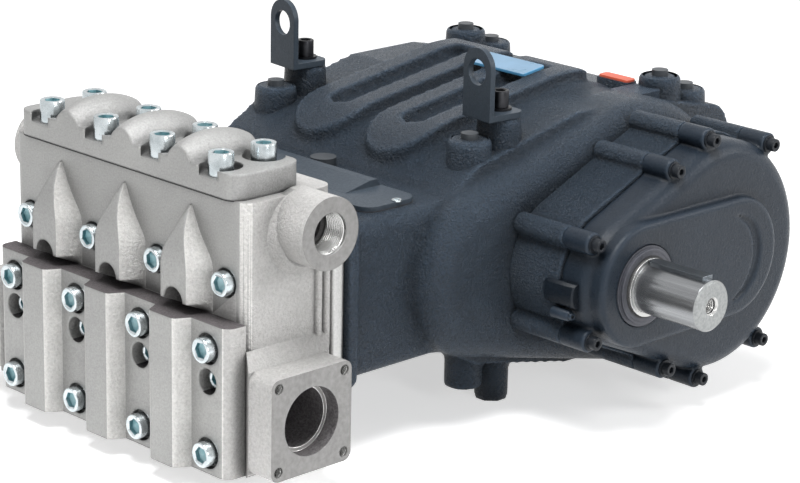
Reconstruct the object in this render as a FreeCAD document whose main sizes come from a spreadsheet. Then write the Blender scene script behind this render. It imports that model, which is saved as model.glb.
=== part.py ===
import FreeCAD, Part
import math
import os
import re
import Sketcher
from FreeCAD import Placement, Rotation, Vector

# Triplex plunger pump with a stainless fluid end, a cast crankcase and a reduction gearbox.
# Origin: middle of the four foot bosses, on their lower faces. +X along the crankshaft towards
# the gearbox, +Y from the fluid end to the rear, +Z up.
os.makedirs("parts", exist_ok=True)
doc = FreeCAD.newDocument("plunger_pump")
sheet = doc.addObject("Spreadsheet::Sheet", "sizes")

# Driving sizes in millimetres: name, value
SIZES = [
    # Main axes
    ("crank_height", 154),
    ("crank_y", 36),
    ("shaft_y", -93),
    ("plunger_pitch", 96),
    # Feet and casting bosses
    ("boss_inset", 24),
    ("foot_pitch_y", 240),
    ("foot_diameter", 34),
    ("foot_hole_diameter", 14),
    ("foot_hole_depth", 32),
    ("outer_boss_pitch_y", 322),
    ("outer_boss_diameter", 38),
    ("outer_boss_rise", 122),
    ("bracket_boss_rise", 139),
    ("rear_boss_rise", 142),
    ("plug_diameter", 17),
    ("plug_height", 6),
    # Crankcase
    ("case_width", 330),
    ("guide_front", -353),
    ("guide_height", 155),
    ("guide_width", 344),
    ("guide_round", 14),
    ("guide_flange_thickness", 12),
    ("guide_flange_width", 356),
    ("deck_rear", -214),
    ("chamber_half_height", 132),
    ("chamber_front_edge", -170),
    ("chamber_flat_front", -30),
    ("chamber_flat_rear", 60),
    ("chamber_slope", 30),
    ("chamber_rear_half", 50),
    ("chamber_rear", 226),
    ("chamber_round", 22),
    ("dome_width", 216),
    ("dome_front_y", -118),
    ("dome_front_radius", 118),
    ("dome_y", 30),
    ("dome_radius", 140),
    ("dome_round", 18),
    ("rib_rise", 11),
    ("rib_spacing", 105),
    ("rib_width", 82),
    ("rib_slot", 30),
    ("rib_nose_y", -200),
    ("rib_rear_y", 60),
    ("bulge_nose_y", -184),
    ("bulge_nose_radius", 85),
    ("bulge_radius", 137),
    ("bulge_thickness", 36),
    ("bulge_root", 30),
    ("bulge_round", 26),
    # Gearbox
    ("gearbox_seam_x", 265),
    ("housing_lobe_radius", 70),
    ("housing_radius", 120),
    ("cover_thickness", 40),
    ("cover_lobe_radius", 66),
    ("cover_radius", 117),
    ("cover_round", 18),
    ("plateau_height", 10),
    ("plateau_radius", 62),
    ("plateau_end_y", 46),
    ("plateau_end_radius", 61),
    ("screw_circle_radius", 125),
    ("lobe_screw_radius", 74),
    ("screw_boss_radius", 11),
    ("screw_boss_length", 32),
    ("recess_radius", 46),
    ("recess_shift", 11),
    ("recess_depth", 2.5),
    # Input shaft
    ("shaft_diameter", 50),
    ("shaft_end_x", 397),
    ("shaft_inner_x", 235),
    ("shaft_clearance", 0.05),
    ("collar_diameter", 58),
    ("collar_length", 6),
    ("seal_diameter", 80),
    ("seal_depth", 10),
    ("seal_lip_height", 3),
    ("key_width", 14),
    ("key_height", 9),
    ("key_length", 70),
    ("key_depth", 5.5),
    ("shaft_chamfer", 2),
    ("centre_hole_diameter", 14),
    ("centre_hole_depth", 36),
    # Fluid end
    ("head_width", 344),
    ("head_front", -475),
    ("head_rear", -369),
    ("head_bottom", 15),
    ("head_top", 275),
    ("head_round", 14),
    ("plate_thickness", 16),
    ("plate_inset", 20),
    ("side_rib_radius", 4),
    ("side_rib_pitch", 10),
    ("side_rib_y", -388),
    ("side_rib_bottom", 122),
    ("side_rib_top", 214),
    ("bay_half_width", 30),
    ("bay_flat_half", 18),
    ("bay_depth", 22),
    ("bay_bottom", 172),
    ("bay_lip", 9),
    ("bay_straight", 33),
    ("bay_taper", 54),
    ("bay_notch_radius", 13),
    ("front_cover_thickness", 22),
    ("front_cover_top", 162),
    ("front_cover_bottom", 17),
    ("front_cover_width", 343),
    ("front_hump_rise", 15),
    ("front_hump_flank", 8),
    ("front_hump_round", 6),
    ("front_corner_round", 11),
    ("front_channel_width", 45),
    ("spot_radius", 15),
    ("spot_depth", 7),
    ("service_hole_z", 106.5),
    ("service_hole_radius", 12.5),
    ("service_hole_depth", 18),
    ("top_cover_seat", 16),
    ("top_cover_rim", 24.5),
    ("top_cover_front", -479),
    ("top_cover_rear", -396),
    ("top_cover_width", 320),
    ("top_cover_round", 16),
    ("top_dome_y", -438),
    ("top_dome_half_width", 27),
    ("top_dome_half_depth", 60),
    ("top_dome_half_height", 36),
    ("top_dome_crest", 46),
    ("top_bolt_pitch", 82.56),
    ("top_bolt_front", -463.6),
    ("top_bolt_rear", -412.4),
    ("top_spot_radius", 20),
    ("bolt_row_manifold", 196),
    ("bolt_row_upper", 138),
    ("bolt_row_lower", 37),
    ("counterbore_diameter", 28),
    ("counterbore_depth", 7),
    ("port_root", 8),
    ("outlet_y", -410),
    ("outlet_z", 245),
    ("outlet_boss_radius", 34.5),
    ("outlet_flare", 6),
    ("outlet_flare_length", 10),
    ("outlet_face_x", 212),
    ("outlet_thread_diameter", 39.6),
    ("outlet_thread_depth", 30),
    ("outlet_bore_diameter", 30),
    ("suction_y", -436),
    ("suction_z", 74),
    ("suction_face_x", 218),
    ("suction_flange_size", 98),
    ("suction_flange_round", 9),
    ("suction_flange_thickness", 31),
    ("suction_root_rear", 14),
    ("suction_bore_diameter", 66),
    ("suction_step_depth", 16),
    ("suction_step_diameter", 58),
    ("suction_hole_pitch", 80),
    ("suction_hole_diameter", 10.2),
    ("suction_hole_diameter_left", 10.6),
    ("suction_hole_depth", 22),
    # Lifting brackets
    ("bracket_width", 41),
    ("bracket_thickness", 6),
    ("bracket_height", 71),
    ("bracket_foot", 46),
    ("bracket_eye_diameter", 26),
    ("bracket_eye_height", 47),
    ("bracket_yaw", -6),
    ("bracket_screw_gap", 24),
    # Deck cover, rear cover, bearing cover
    ("deck_cover_thickness", 5),
    ("deck_cover_width", 312),
    ("deck_cover_front", -311),
    ("deck_cover_rear", -243),
    ("deck_cover_round", 16),
    ("deck_panel_width", 208),
    ("deck_panel_rear", -245),
    ("deck_panel_depth", 47),
    ("deck_panel_rise", 7),
    ("deck_panel_crest", 9),
    ("deck_panel_slope", 4),
    ("deck_cap_x", 5),
    ("deck_cap_y", -228),
    ("deck_cap_radius", 13),
    ("deck_cap_height", 10),
    ("rear_cover_thickness", 14),
    ("rear_cover_width", 250),
    ("rear_cover_round", 24),
    ("rear_panel_inset", 18),
    ("rear_panel_rise", 5),
    ("bearing_cover_radius", 92),
    ("bearing_cover_thickness", 18),
    ("bearing_step_radius", 66),
    ("bearing_step_rise", 8),
    ("sight_glass_drop", 20),
    ("sight_glass_radius", 17),
    ("sight_glass_length", 9),
    ("seat_gap", 0.3),
]
NAMES = [name for name, value in SIZES]
for row, (name, value) in enumerate(SIZES, start=1):
    sheet.set("A%d" % row, name)
    sheet.set("B%d" % row, str(value))
    sheet.setAlias("B%d" % row, name)
doc.recompute()


def link(text):
    return re.sub(r"[a-z_]+", lambda m: "sizes." + m.group(0) if m.group(0) in NAMES else m.group(0), text)


def size(text):
    return float(sheet.evalExpression(link(text)))


def bind(item, links):
    for path, text in links.items():
        item.setExpression(path, link(text))


def place(item, x="0", y="0", z="0"):
    bind(item, {"Placement.Base.x": x, "Placement.Base.y": y, "Placement.Base.z": z})


def box(name, x, y, z, length, width, height):
    item = doc.addObject("Part::Box", name)
    bind(item, {"Length": length, "Width": width, "Height": height})
    place(item, x, y, z)
    return item


TURNS = {
    "x": Rotation(Vector(0, 1, 0), 90),
    "-x": Rotation(Vector(0, 1, 0), -90),
    "y": Rotation(Vector(1, 0, 0), -90),
    "z": Rotation(),
}


def rod(name, axis, x, y, z, radius, length):
    item = doc.addObject("Part::Cylinder", name)
    item.Placement = Placement(Vector(), TURNS[axis])
    bind(item, {"Radius": radius, "Height": length})
    place(item, x, y, z)
    return item


def join(name, items):
    item = doc.addObject("Part::MultiFuse", name)
    item.Shapes = items
    item.Refine = True
    return item


def carve(name, base, tools):
    item = doc.addObject("Part::Cut", name)
    item.Base = base
    item.Tool = tools[0] if len(tools) == 1 else join(name + "_tools", tools)
    item.Refine = True
    return item


def meet(name, base, tool):
    item = doc.addObject("Part::Common", name)
    item.Base = base
    item.Tool = tool
    return item


def rounded(name, base, radius, chosen):
    # Fillet of the edges that the test picks, all with one radius.
    doc.recompute()
    item = doc.addObject("Part::Fillet", name)
    item.Base = base
    picked = [n for n, edge in enumerate(base.Shape.Edges, start=1) if chosen(edge)]
    item.Edges = [(n, size(radius), size(radius)) for n in picked]
    return item


def along(axis):
    # Test for straight edges that run along one axis.
    def test(edge):
        if edge.Curve.TypeId != "Part::GeomLine":
            return False
        return abs(abs(getattr(edge.Curve.Direction, axis)) - 1) < 1e-6
    return test


def on_plane(axis, value):
    # Test for edges that lie in a plane square to one axis.
    def test(edge):
        return all(abs(getattr(v.Point, axis) - value) < 1e-4 for v in edge.Vertexes)
    return test


def new_body(name):
    return doc.addObject("PartDesign::Body", name)


def new_sketch(body, role, name, offset="0"):
    sketch = body.newObject("Sketcher::SketchObject", name)
    plane = [item for item in body.Origin.OriginFeatures if item.Role == role][0]
    sketch.AttachmentSupport = (plane, [""])
    sketch.MapMode = "FlatFace"
    sketch.setExpression("AttachmentOffset.Base.z", link(offset))
    return sketch


def pin_point(sketch, item, end, u, v):
    # Ties one point of the sketch to the sheet.
    for kind, text in (("DistanceX", u), ("DistanceY", v)):
        number = sketch.addConstraint(Sketcher.Constraint(kind, -1, 1, item, end, size(text)))
        sketch.setExpression("Constraints[%d]" % number, link(text))


def polygon(sketch, points):
    # Closed outline whose corners are tied to the sheet.
    corners = [Vector(size(u), size(v), 0) for u, v in points]
    count = len(corners)
    for n in range(count):
        sketch.addGeometry(Part.LineSegment(corners[n], corners[(n + 1) % count]), False)
    for n in range(count):
        sketch.addConstraint(Sketcher.Constraint("Coincident", n, 2, (n + 1) % count, 1))
    for n, (u, v) in enumerate(points):
        pin_point(sketch, n, 1, u, v)


def belt(sketch, first, second):
    # Outline round two circles, as a belt round two pulleys. Each is (u, v, radius), smaller u first.
    (u1, v1, r1), (u2, v2, r2) = first, second
    c1 = Vector(size(u1), size(v1), 0)
    c2 = Vector(size(u2), size(v2), 0)
    a, b = size(r1), size(r2)
    lean = math.acos((a - b) / (c2 - c1).Length)
    axis = Vector(0, 0, 1)
    lines = []
    for side in (1, -1):
        out = Vector(math.cos(lean), side * math.sin(lean), 0)
        lines.append((c1 + out * a, c2 + out * b))
    left = Part.ArcOfCircle(Part.Circle(c1, axis, a), lean, 2 * math.pi - lean)
    right = Part.ArcOfCircle(Part.Circle(c2, axis, b), -lean, lean)
    sketch.addGeometry([left, right], False)
    sketch.addGeometry([Part.LineSegment(p, q) for p, q in lines], False)
    # Each line touches both arcs, so the outline stays smooth when a size changes.
    for line, left_end, right_end in ((2, 1, 2), (3, 2, 1)):
        sketch.addConstraint(Sketcher.Constraint("Tangent", 0, left_end, line, 1))
        sketch.addConstraint(Sketcher.Constraint("Tangent", 1, right_end, line, 2))
    for arc, (u, v, radius) in enumerate((first, second)):
        pin_point(sketch, arc, 3, u, v)
        number = sketch.addConstraint(Sketcher.Constraint("Radius", arc, size(radius)))
        sketch.setExpression("Constraints[%d]" % number, link(radius))


def pad(body, sketch, length, name, reverse=False):
    item = body.newObject("PartDesign::Pad", name)
    item.Profile = sketch
    item.setExpression("Length", link(length))
    item.Reversed = reverse
    sketch.Visibility = False
    return item


def smooth(body, base, radius, chosen, name):
    doc.recompute()
    item = body.newObject("PartDesign::Fillet", name)
    picked = ["Edge%d" % n for n, edge in enumerate(base.Shape.Edges, start=1) if chosen(edge)]
    item.Base = (base, picked)
    item.setExpression("Radius", link(radius))
    return item


def tube(name, axis, x, y, z, radius_start, radius_end, length):
    # Cone along one axis, for cast flares.
    item = doc.addObject("Part::Cone", name)
    item.Placement = Placement(Vector(), TURNS[axis])
    bind(item, {"Radius1": radius_start, "Radius2": radius_end, "Height": length})
    place(item, x, y, z)
    return item


def loft(body, sketches, name):
    item = body.newObject("PartDesign::AdditiveLoft", name)
    item.Profile = sketches[0]
    item.Sections = sketches[1:]
    item.Ruled = True
    return item


FINISHED = []


def finish(item, label):
    item.Label = label
    FINISHED.append(item)
    return item


SIDES = ((-1, "left"), (1, "right"))
BOSS_X = "(case_width / 2 - boss_inset)"
DECK = "crank_height + guide_height / 2"

# Crankcase: guide housing, crank chamber, dome with ribs, bosses and gearbox bulge
guide = rounded(
    "guide_rounded",
    box("guide", "-guide_width / 2", "guide_front", "crank_height - guide_height / 2",
        "guide_width", "deck_rear - guide_front", "guide_height"),
    "guide_round", along("y"))
guide_flange = rounded(
    "guide_flange_rounded",
    box("guide_flange", "-guide_flange_width / 2", "guide_front", "crank_height - guide_height / 2 - boss_inset / 3",
        "guide_flange_width", "guide_flange_thickness", "guide_height + boss_inset / 2"),
    "guide_round", along("y"))
guide_core = box("guide_core", "-case_width / 2", "deck_rear - guide_round", "crank_height - guide_height / 2",
                 "case_width", "crank_y - deck_rear + guide_round", "guide_height")

chamber = new_body("chamber")
chamber_sketch = new_sketch(chamber, "YZ_Plane", "chamber_side", "-case_width / 2")
TOP = "crank_height + chamber_half_height"
BOTTOM = "crank_height - chamber_half_height"
polygon(chamber_sketch, [
    ("deck_rear", "crank_height - guide_height / 2"),
    ("chamber_front_edge", BOTTOM + " + chamber_slope"),
    ("chamber_flat_front", BOTTOM),
    ("chamber_flat_rear", BOTTOM),
    ("chamber_rear - chamber_slope", BOTTOM + " + chamber_slope"),
    ("chamber_rear", "crank_height - chamber_rear_half"),
    ("chamber_rear", "crank_height + chamber_rear_half"),
    ("chamber_rear - chamber_slope", TOP + " - chamber_slope"),
    ("chamber_flat_rear", TOP),
    ("chamber_flat_front", TOP),
    ("chamber_front_edge", TOP + " - chamber_slope"),
    ("deck_rear", DECK),
])
chamber_pad = pad(chamber, chamber_sketch, "case_width", "chamber_block")
smooth(chamber, chamber_pad, "chamber_round", along("x"), "chamber_rounded")


def belt_body(name, start, length, first, second, rounding=None, ends=()):
    # A plate across the machine whose side outline is a belt round two circles.
    body = new_body(name)
    sketch = new_sketch(body, "YZ_Plane", name + "_outline", start)
    belt(sketch, first, second)
    plate = pad(body, sketch, length, name + "_plate")
    if rounding:
        for number, end in enumerate(ends):
            plate = smooth(body, plate, rounding, on_plane("x", size(end)), "%s_edge_%d" % (name, number))
    return body


dome = belt_body(
    "dome", "-dome_width / 2", "dome_width",
    ("dome_front_y", "crank_height", "dome_front_radius"),
    ("dome_y", "crank_height", "dome_radius"),
    "dome_round", ("-dome_width / 2", "dome_width / 2"))

ribs = []
for side, tag in SIDES:
    middle = "%d * rib_spacing / 2" % side
    nose_y = "rib_nose_y + rib_width / 2"
    strip = belt_body(
        "rib_strip_" + tag, middle + " - rib_width / 2", "rib_width",
        ("dome_front_y", "crank_height", "dome_front_radius + rib_rise"),
        ("dome_y", "crank_height", "dome_radius + rib_rise"))
    tall = "dome_radius + 2 * rib_rise"
    rib_plan = join("rib_solid_" + tag, [
        rod("rib_nose_" + tag, "z", middle, nose_y, "crank_height", "rib_width / 2", tall),
        box("rib_run_" + tag, middle + " - rib_width / 2", nose_y, "crank_height",
            "rib_width", "rib_rear_y - rib_nose_y - rib_width / 2", tall)])
    slot_y = nose_y + " + rib_slot / 2"
    slot = [
        rod("rib_slot_end_" + tag, "z", middle, slot_y, "crank_height", "rib_slot / 2", tall),
        box("rib_slot_run_" + tag, middle + " - rib_slot / 2", slot_y, "crank_height",
            "rib_slot", "rib_rear_y - rib_nose_y - rib_width", tall)]
    ribs.append(meet("rib_" + tag, strip, carve("rib_outline_" + tag, rib_plan, slot)))

bosses = []
for side, tag in SIDES:
    column = "%d * %s" % (side, BOSS_X)
    for end, where in ((-1, "front"), (1, "rear")):
        rise = "bracket_boss_rise" if end < 0 else "rear_boss_rise"
        bosses.append(rod("foot_%s_%s" % (where, tag), "z", column, "%d * foot_pitch_y / 2" % end, "0",
                          "foot_diameter / 2", "crank_height + " + rise))
        bosses.append(rod("outer_boss_%s_%s" % (where, tag), "z", column, "%d * outer_boss_pitch_y / 2" % end,
                          "crank_height - chamber_half_height", "outer_boss_diameter / 2",
                          "chamber_half_height + outer_boss_rise"))

BACK = "case_width / 2 + bulge_thickness"
bulge = belt_body(
    "bulge", "case_width / 2 - bulge_root", "bulge_thickness + bulge_root",
    ("bulge_nose_y", "crank_height", "bulge_nose_radius"),
    ("crank_y", "crank_height", "bulge_radius"),
    "bulge_round", (BACK,))

case_solid = join("case_solid", [guide, guide_flange, guide_core, chamber, dome, bulge] + ribs + bosses)
foot_holes = [
    rod("foot_hole_%s_%d" % (tag, end + 1), "z", "%d * %s" % (side, BOSS_X), "%d * foot_pitch_y / 2" % end,
        "-seat_gap", "foot_hole_diameter / 2", "foot_hole_depth + seat_gap")
    for side, tag in SIDES for end in (-1, 1)]
finish(carve("crankcase", case_solid, foot_holes), "crankcase")


# Gearbox: housing against the crankcase bulge, cover with screw bosses round both gears
def ring_points(centre_y, radius, angles):
    # Places on a circle as (y, z), for each angle above and below the middle plane.
    places = []
    for degrees in angles:
        for sign in (1, -1):
            turn = math.radians(sign * degrees)
            places.append(("%s + %s * %.4f" % (centre_y, radius, math.cos(turn)),
                           "crank_height + %s * %.4f" % (radius, math.sin(turn))))
    return places


# Three screws round the large gear on each half and one on each half of the shaft lobe
SCREWS = ring_points("crank_y", "screw_circle_radius", (55, 100, 126))
SCREWS += ring_points("shaft_y", "lobe_screw_radius", (139,))

HOUSING_LENGTH = "gearbox_seam_x - case_width / 2 - bulge_thickness"
housing_plate = belt_body(
    "housing_plate", BACK, HOUSING_LENGTH,
    ("shaft_y", "crank_height", "housing_lobe_radius"), ("crank_y", "crank_height", "housing_radius"))
housing_bosses = [rod("housing_boss_%d" % n, "x", BACK, y, z, "screw_boss_radius", HOUSING_LENGTH)
                  for n, (y, z) in enumerate(SCREWS)]
shaft_bore = rod("housing_shaft_bore", "x", "shaft_inner_x", "shaft_y", "crank_height",
                 "shaft_diameter / 2 + shaft_clearance", "gearbox_seam_x - shaft_inner_x + shaft_chamfer")
finish(carve("gearbox_housing", join("housing_solid", [housing_plate] + housing_bosses), [shaft_bore]),
       "gearbox_housing")

cover_plate = belt_body(
    "cover_plate", "gearbox_seam_x", "cover_thickness",
    ("shaft_y", "crank_height", "cover_lobe_radius"), ("crank_y", "crank_height", "cover_radius"),
    "cover_round", ("gearbox_seam_x + cover_thickness",))
COVER_FACE = "gearbox_seam_x + cover_thickness + plateau_height"
plateau = belt_body(
    "plateau", "gearbox_seam_x", "cover_thickness + plateau_height",
    ("shaft_y", "crank_height", "plateau_radius"), ("plateau_end_y", "crank_height", "plateau_end_radius"),
    "plateau_height / 2", (COVER_FACE,))
cover_bosses = [rod("cover_boss_%d" % n, "x", "gearbox_seam_x", y, z, "screw_boss_radius", "screw_boss_length")
                for n, (y, z) in enumerate(SCREWS)]
# Crescent recess in the plateau, round the large gear
recess = carve("recess", rod("recess_outer", "x", COVER_FACE + " - recess_depth", "crank_y", "crank_height",
                             "recess_radius", "2 * recess_depth"),
               [rod("recess_inner", "x", COVER_FACE + " - 2 * recess_depth", "crank_y - recess_shift",
                    "crank_height", "recess_radius", "4 * recess_depth")])
cover_cuts = [
    recess,
    rod("cover_shaft_bore", "x", "gearbox_seam_x - shaft_chamfer", "shaft_y", "crank_height",
        "shaft_diameter / 2 + shaft_clearance", "cover_thickness + plateau_height + 2 * shaft_chamfer"),
    rod("seal_pocket", "x", COVER_FACE + " - seal_depth", "shaft_y", "crank_height",
        "seal_diameter / 2", "2 * seal_depth")]
finish(carve("gearbox_cover", join("cover_solid", [cover_plate, plateau] + cover_bosses), cover_cuts),
       "gearbox_cover")

# Shaft seal: stepped ring in the pocket of the cover
seal_solid = join("seal_solid", [
    rod("seal_ring", "x", COVER_FACE + " - seal_depth", "shaft_y", "crank_height", "seal_diameter / 2", "seal_depth"),
    rod("seal_lip", "x", COVER_FACE, "shaft_y", "crank_height", "seal_diameter / 2 - seal_lip_height",
        "seal_lip_height")])
seal_bore = rod("seal_bore", "x", COVER_FACE + " - 2 * seal_depth", "shaft_y", "crank_height",
                "collar_diameter / 2 + seat_gap", "4 * seal_depth")
finish(carve("shaft_seal", seal_solid, [seal_bore]), "shaft_seal")

# Input shaft: turned profile with a collar at the seal, a keyway and a centre hole
shaft = new_body("input_shaft_body")
shaft_sketch = new_sketch(shaft, "XZ_Plane", "shaft_profile")
COLLAR_START = COVER_FACE + " - seal_depth + seat_gap"
COLLAR_END = COVER_FACE + " + collar_length"
polygon(shaft_sketch, [
    ("shaft_inner_x + seat_gap", "0"),
    ("shaft_end_x - centre_hole_depth", "0"),
    ("shaft_end_x - centre_hole_depth", "centre_hole_diameter / 2"),
    ("shaft_end_x - shaft_chamfer", "centre_hole_diameter / 2"),
    ("shaft_end_x", "centre_hole_diameter / 2 + shaft_chamfer"),
    ("shaft_end_x", "shaft_diameter / 2 - shaft_chamfer"),
    ("shaft_end_x - shaft_chamfer", "shaft_diameter / 2"),
    (COLLAR_END, "shaft_diameter / 2"),
    (COLLAR_END, "collar_diameter / 2"),
    (COLLAR_START, "collar_diameter / 2"),
    (COLLAR_START, "shaft_diameter / 2"),
    ("shaft_inner_x + seat_gap", "shaft_diameter / 2"),
])
turned = shaft.newObject("PartDesign::Revolution", "shaft_turned")
turned.Profile = shaft_sketch
turned.ReferenceAxis = (shaft_sketch, ["H_Axis"])
turned.Angle = 360
place(shaft, "0", "shaft_y", "crank_height")


def key_shape(name):
    # Round-ended bar that lies in the top of the shaft.
    start = "shaft_end_x - key_length"
    base = "crank_height + shaft_diameter / 2 - key_depth"
    bar = box(name + "_bar", start, "shaft_y - key_width / 2", base,
              "key_length - key_width / 2", "key_width", "key_height")
    end = rod(name + "_end", "z", start, "shaft_y", base, "key_width / 2", "key_height")
    return join(name, [bar, end])


finish(carve("input_shaft", shaft, [key_shape("keyway")]), "input_shaft")
finish(key_shape("shaft_key"), "shaft_key")

# Fluid end: manifold block with three bays at the front and a port pair at each side
block = rounded(
    "head_rounded",
    box("head_block", "-head_width / 2", "head_front", "head_bottom", "head_width", "head_rear - head_front",
        "head_top - head_bottom"), "head_round", along("z"))
COLUMNS = ["%.1f * plunger_pitch" % factor for factor in (-1.5, -0.5, 0.5, 1.5)]
BAYS = ["%d * plunger_pitch" % factor for factor in (-1, 0, 1)]

# Each bay is lofted: a broad hump at its foot that dies out in a point below the top cover.
# Rows are height above the shoulder, then factors for foot, flat and depth.
BAY_SECTIONS = [
    ("bay_bottom - bay_lip", 1.0, 0.9, 0.05),
    ("bay_bottom", 1.0, 1.0, 1.0),
    ("bay_bottom + bay_straight", 1.0, 1.0, 1.0),
    ("bay_bottom + bay_straight + 0.12 * bay_taper", 0.95, 0.95, 0.99),
    ("bay_bottom + bay_straight + 0.24 * bay_taper", 0.83, 0.86, 0.96),
    ("bay_bottom + bay_straight + 0.36 * bay_taper", 0.66, 0.72, 0.89),
    ("bay_bottom + bay_straight + 0.5 * bay_taper", 0.48, 0.53, 0.77),
    ("bay_bottom + bay_straight + 0.65 * bay_taper", 0.32, 0.35, 0.61),
    ("bay_bottom + bay_straight + 0.82 * bay_taper", 0.18, 0.19, 0.38),
    ("bay_bottom + bay_straight + bay_taper", 0.04, 0.04, 0.08),
]
bays = []
notches = []
for n, centre in enumerate(BAYS):
    bay = new_body("bay_%d" % n)
    outlines = []
    for step, (height, foot, flat, depth) in enumerate(BAY_SECTIONS):
        outline = new_sketch(bay, "XY_Plane", "bay_%d_outline_%d" % (n, step), height)
        front = "head_front - %.2f * bay_depth" % depth
        polygon(outline, [
            ("%s - %.2f * bay_half_width" % (centre, foot), "head_front + bay_lip / 3"),
            ("%s - %.2f * bay_half_width" % (centre, foot), "head_front"),
            ("%s - %.2f * bay_flat_half" % (centre, flat), front),
            ("%s + %.2f * bay_flat_half" % (centre, flat), front),
            ("%s + %.2f * bay_half_width" % (centre, foot), "head_front"),
            ("%s + %.2f * bay_half_width" % (centre, foot), "head_front + bay_lip / 3"),
        ])
        outlines.append(outline)
    loft(bay, outlines, "bay_%d_loft" % n)
    bays.append(bay)
    notches.append(rod("bay_notch_%d" % n, "y", centre, "head_front - 2 * bay_depth", "bay_bottom",
                       "bay_notch_radius", "2 * bay_depth + bay_lip"))

ports = []
port_cuts = []
for side, tag in SIDES:
    axis = "x" if side > 0 else "-x"
    wall = "%d * head_width / 2" % side
    ports.append(rod("outlet_boss_" + tag, axis, wall + " - %d * port_root" % side, "outlet_y", "outlet_z",
                     "outlet_boss_radius", "outlet_face_x - head_width / 2 + port_root"))
    ports.append(tube("outlet_flare_" + tag, axis, wall, "outlet_y", "outlet_z - outlet_flare",
                      "outlet_boss_radius + outlet_flare", "outlet_boss_radius - outlet_flare / 2",
                      "outlet_flare_length"))
    # Square suction boss that grows out of the side wall
    root = new_body("suction_root_" + tag)
    half = "suction_flange_size / 2"
    outlines = []
    for step, (x, front, rear, bottom, top) in enumerate((
            (wall, "head_front", "suction_y + %s + suction_root_rear" % half,
             "head_bottom", "suction_z + %s + suction_root_rear" % half),
            ("%d * (suction_face_x - suction_flange_thickness)" % side, "suction_y - " + half,
             "suction_y + " + half, "suction_z - " + half, "suction_z + " + half))):
        outline = new_sketch(root, "YZ_Plane", "suction_root_%s_%d" % (tag, step), x)
        polygon(outline, [(front, bottom), (rear, bottom), (rear, top), (front, top)])
        outlines.append(outline)
    loft(root, outlines, "suction_root_%s_loft" % tag)
    ports.append(root)
    flange_start = "suction_face_x - suction_flange_thickness" if side > 0 else "-suction_face_x"
    ports.append(rounded(
        "suction_flange_rounded_" + tag,
        box("suction_flange_" + tag, flange_start, "suction_y - " + half, "suction_z - " + half,
            "suction_flange_thickness", "suction_flange_size", "suction_flange_size"),
        "suction_flange_round", along("x")))
    for number in (0, 1):
        ports.append(rod("side_rib_%s_%d" % (tag, number), "z", wall, "side_rib_y + %d * side_rib_pitch" % number,
                         "side_rib_bottom", "side_rib_radius", "side_rib_top - side_rib_bottom"))
    port_cuts.append(rod("outlet_thread_" + tag, axis, "%d * (outlet_face_x - outlet_thread_depth)" % side,
                         "outlet_y", "outlet_z", "outlet_thread_diameter / 2", "2 * outlet_thread_depth"))
    hole = "suction_hole_diameter" if side > 0 else "suction_hole_diameter_left"
    for u in (-1, 1):
        for v in (-1, 1):
            port_cuts.append(rod("flange_hole_%s_%d_%d" % (tag, u + 1, v + 1), axis,
                                 "%d * (suction_face_x - suction_hole_depth)" % side,
                                 "suction_y + %d * suction_hole_pitch / 2" % u,
                                 "suction_z + %d * suction_hole_pitch / 2" % v,
                                 hole + " / 2", "2 * suction_hole_depth"))
    port_cuts.append(rod("suction_mouth_" + tag, axis, "%d * (suction_face_x - suction_step_depth)" % side,
                         "suction_y", "suction_z", "suction_bore_diameter / 2", "2 * suction_step_depth"))
port_cuts.append(rod("suction_gallery", "x", "-suction_face_x", "suction_y", "suction_z",
                     "suction_step_diameter / 2", "2 * suction_face_x"))
port_cuts.append(rod("outlet_gallery", "x", "-outlet_face_x", "outlet_y", "outlet_z",
                     "outlet_bore_diameter / 2", "2 * outlet_face_x"))
for n, column in enumerate(COLUMNS):
    port_cuts.append(rod("counterbore_%d" % n, "y", column, "head_front - counterbore_depth", "bolt_row_manifold",
                         "counterbore_diameter / 2", "2 * counterbore_depth"))
finish(carve("manifold_block", join("manifold_solid", [block] + bays + ports), port_cuts + notches),
       "manifold_block")

finish(rounded(
    "packing_plate",
    box("packing_block", "-head_width / 2", "head_rear", "head_bottom + plate_inset", "head_width",
        "plate_thickness", "head_top - head_bottom - 2 * plate_inset"),
    "head_round / 3", along("z")), "packing_plate")

# Front valve cover: a plan outline with three humps, padded upwards, with spot faces for the bolts
front = new_body("front_cover_body")
front_sketch = new_sketch(front, "XY_Plane", "front_cover_plan", "front_cover_bottom")
FACE = "head_front - front_cover_thickness"
plan = [("front_cover_width / 2", "head_front"), ("front_cover_width / 2", FACE)]
for centre in reversed(BAYS):
    foot = "(plunger_pitch - front_channel_width) / 2"
    crest = FACE + " - front_hump_rise"
    plan.append((centre + " + " + foot, FACE))
    plan.append((centre + " + " + foot + " - front_hump_flank", crest))
    plan.append((centre + " - " + foot + " + front_hump_flank", crest))
    plan.append((centre + " - " + foot, FACE))
plan += [("-front_cover_width / 2", FACE), ("-front_cover_width / 2", "head_front")]
polygon(front_sketch, plan)
front_pad = pad(front, front_sketch, "front_cover_top - front_cover_bottom", "front_cover_pad")
crests = smooth(
    front, front_pad, "front_hump_round",
    lambda edge: along("z")(edge) and abs(edge.CenterOfMass.y - size(FACE + " - front_hump_rise")) < 1e-4,
    "front_crests")
smooth(front, crests, "front_corner_round",
       lambda edge: along("z")(edge) and abs(edge.CenterOfMass.y - size(FACE)) < 1e-4
       and abs(abs(edge.CenterOfMass.x) - size("front_cover_width / 2")) < 1e-4, "front_corners")
front_cuts = []
for n, column in enumerate(COLUMNS):
    for row in ("bolt_row_upper", "bolt_row_lower"):
        front_cuts.append(rod("spot_%s_%d" % (row, n), "y", column, FACE + " - 2 * front_hump_rise", row,
                              "spot_radius", "2 * front_hump_rise + spot_depth"))
    front_cuts.append(rod("service_hole_%d" % n, "y", column, FACE + " - 2 * front_hump_rise", "service_hole_z",
                          "service_hole_radius", "2 * front_hump_rise + service_hole_depth"))
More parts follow.
